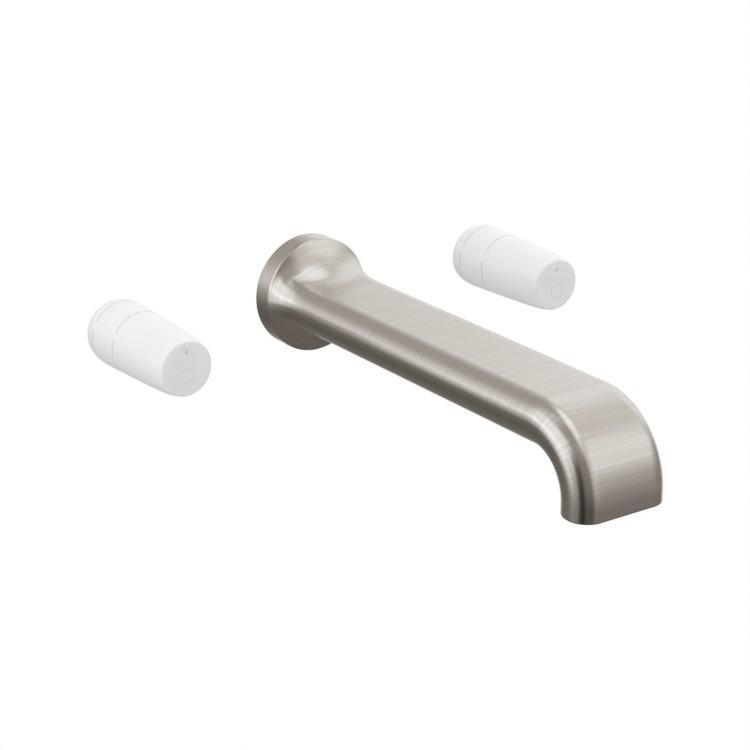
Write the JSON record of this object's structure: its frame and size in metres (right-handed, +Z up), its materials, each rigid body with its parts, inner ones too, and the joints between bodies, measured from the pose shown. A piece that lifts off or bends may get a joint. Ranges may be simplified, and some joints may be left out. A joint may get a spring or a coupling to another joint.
{
  "type": "wall mounted bath faucet",
  "caption": "Wall mounted bath faucet: wide flat spout on a round flange, turned down at its outlet, between two valve stems under white plastic guards, with its in-wall valves and tee.",
  "frame": {"origin": "middle of the spout's flange on the face of the finished wall", "axes": "+X along the wall to the right as seen from the room, +Y into the wall, +Z up; the spout points along -Y"},
  "size_m": [0.2572, 0.3065, 0.0832],
  "materials": {
    "brushed_nickel": "warm nickel, finely brushed across the spout, clear lacquered",
    "guard_plastic": "moulded white, soft sheen",
    "white_plastic": "moulded",
    "grey_plastic": "moulded",
    "brass": "forged and machined, unplated",
    "copper": "drawn copper tube",
    "stainless": "plain machined",
    "zinc_steel": "zinc plated sheet",
    "seal_rubber": "moulded black rubber",
    "disc_ceramic": "lapped"
  },
  "bodies": {
    "fixed_set": {"spout_shell": "brushed_nickel", "flange_gasket": "seal_rubber", "spout_tube_oring_rear": "seal_rubber", "spout_tube_oring_front": "seal_rubber", "spout_set_screw": "stainless", "outlet_gasket": "seal_rubber", "debris_screen": "stainless", "stream_straightener": "grey_plastic", "spout_tube": "copper", "outlet_tee": "brass", "mounting_bracket": "zinc_steel", "hot_valve_body": "brass", "hot_inlet_nipple": "brass", "hot_crossover_tube": "copper", "hot_bracket_screw_left": "stainless", "hot_bracket_screw_right": "stainless", "hot_seat_seal": "seal_rubber", "hot_fixed_disc": "disc_ceramic", "hot_cartridge_housing": "brass", "hot_cartridge_oring": "seal_rubber", "hot_thrust_washer": "white_plastic", "hot_bonnet": "brass", "cold_valve_body": "brass", "cold_inlet_nipple": "brass", "cold_crossover_tube": "copper", "cold_bracket_screw_left": "stainless", "cold_bracket_screw_right": "stainless", "cold_seat_seal": "seal_rubber", "cold_fixed_disc": "disc_ceramic", "cold_cartridge_housing": "brass", "cold_cartridge_oring": "seal_rubber", "cold_thrust_washer": "white_plastic", "cold_bonnet": "brass"},
    "hot_stem_set": {"hot_stem": "brass", "hot_moving_disc": "disc_ceramic", "hot_stem_oring": "seal_rubber", "hot_stem_clip": "stainless"},
    "cold_stem_set": {"cold_stem": "brass", "cold_moving_disc": "disc_ceramic", "cold_stem_oring": "seal_rubber", "cold_stem_clip": "stainless"},
    "hot_guard_cap": {"hot_guard": "guard_plastic"},
    "cold_guard_cap": {"cold_guard": "guard_plastic"}
  },
  "joints": [
    {"name": "hot_stem_turn", "type": "hinge", "parent": "fixed_set", "child": "hot_stem_set", "pos_m": [-0.1016, 0, 0], "axis": [0, -1, 0], "range_deg": [0, 90]},
    {"name": "cold_stem_turn", "type": "hinge", "parent": "fixed_set", "child": "cold_stem_set", "pos_m": [0.1016, 0, 0], "axis": [0, 1, 0], "range_deg": [0, 90]},
    {"name": "hot_guard_pull", "type": "slide", "parent": "fixed_set", "child": "hot_guard_cap", "axis": [0, -1, 0], "range_m": [0, 0.06]},
    {"name": "cold_guard_pull", "type": "slide", "parent": "fixed_set", "child": "cold_guard_cap", "axis": [0, -1, 0], "range_m": [0, 0.06]}
  ]
}
